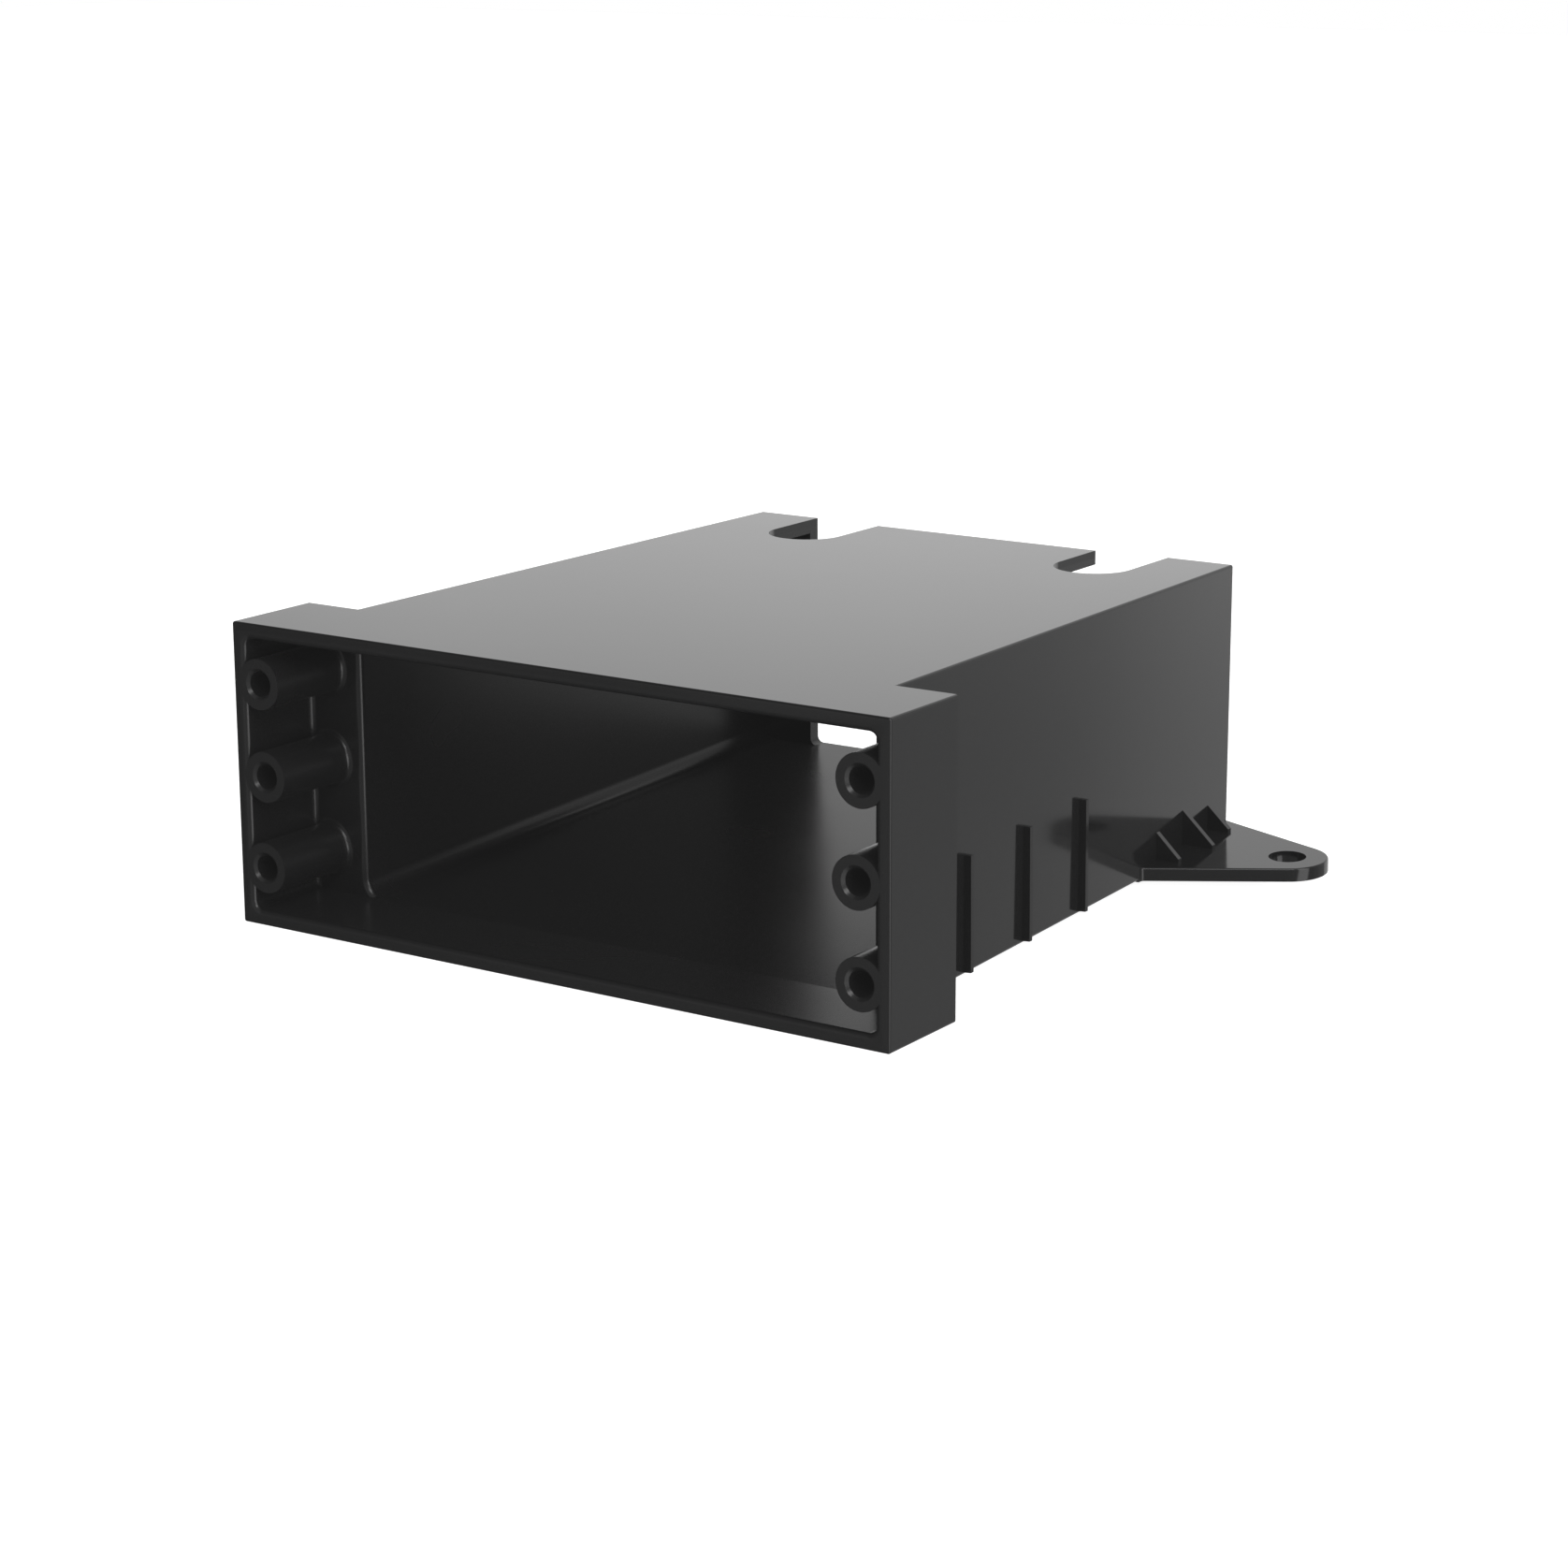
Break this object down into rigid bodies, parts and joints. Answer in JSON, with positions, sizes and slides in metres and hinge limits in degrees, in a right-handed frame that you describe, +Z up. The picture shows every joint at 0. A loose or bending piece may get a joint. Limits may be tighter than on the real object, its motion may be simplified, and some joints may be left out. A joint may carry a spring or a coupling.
{
  "type": "injection moulded plastic housing",
  "caption": "Moulded housing with a screw collar round its open front, a drafted hollow body, a windowed rear wall and mounting ears on ribbed sides.",
  "frame": {"origin": "centre of the collar's front face, which is the centre of its screw pattern", "axes": "+X to the right across the open front, +Y to the rear through the body, +Z up towards the flat roof"},
  "size_m": [0.1444, 0.125, 0.048],
  "materials": {
    "housing_plastic": "gloss black, moulded"
  },
  "bodies": {
    "root": {"housing": "housing_plastic"}
  },
  "joints": []
}
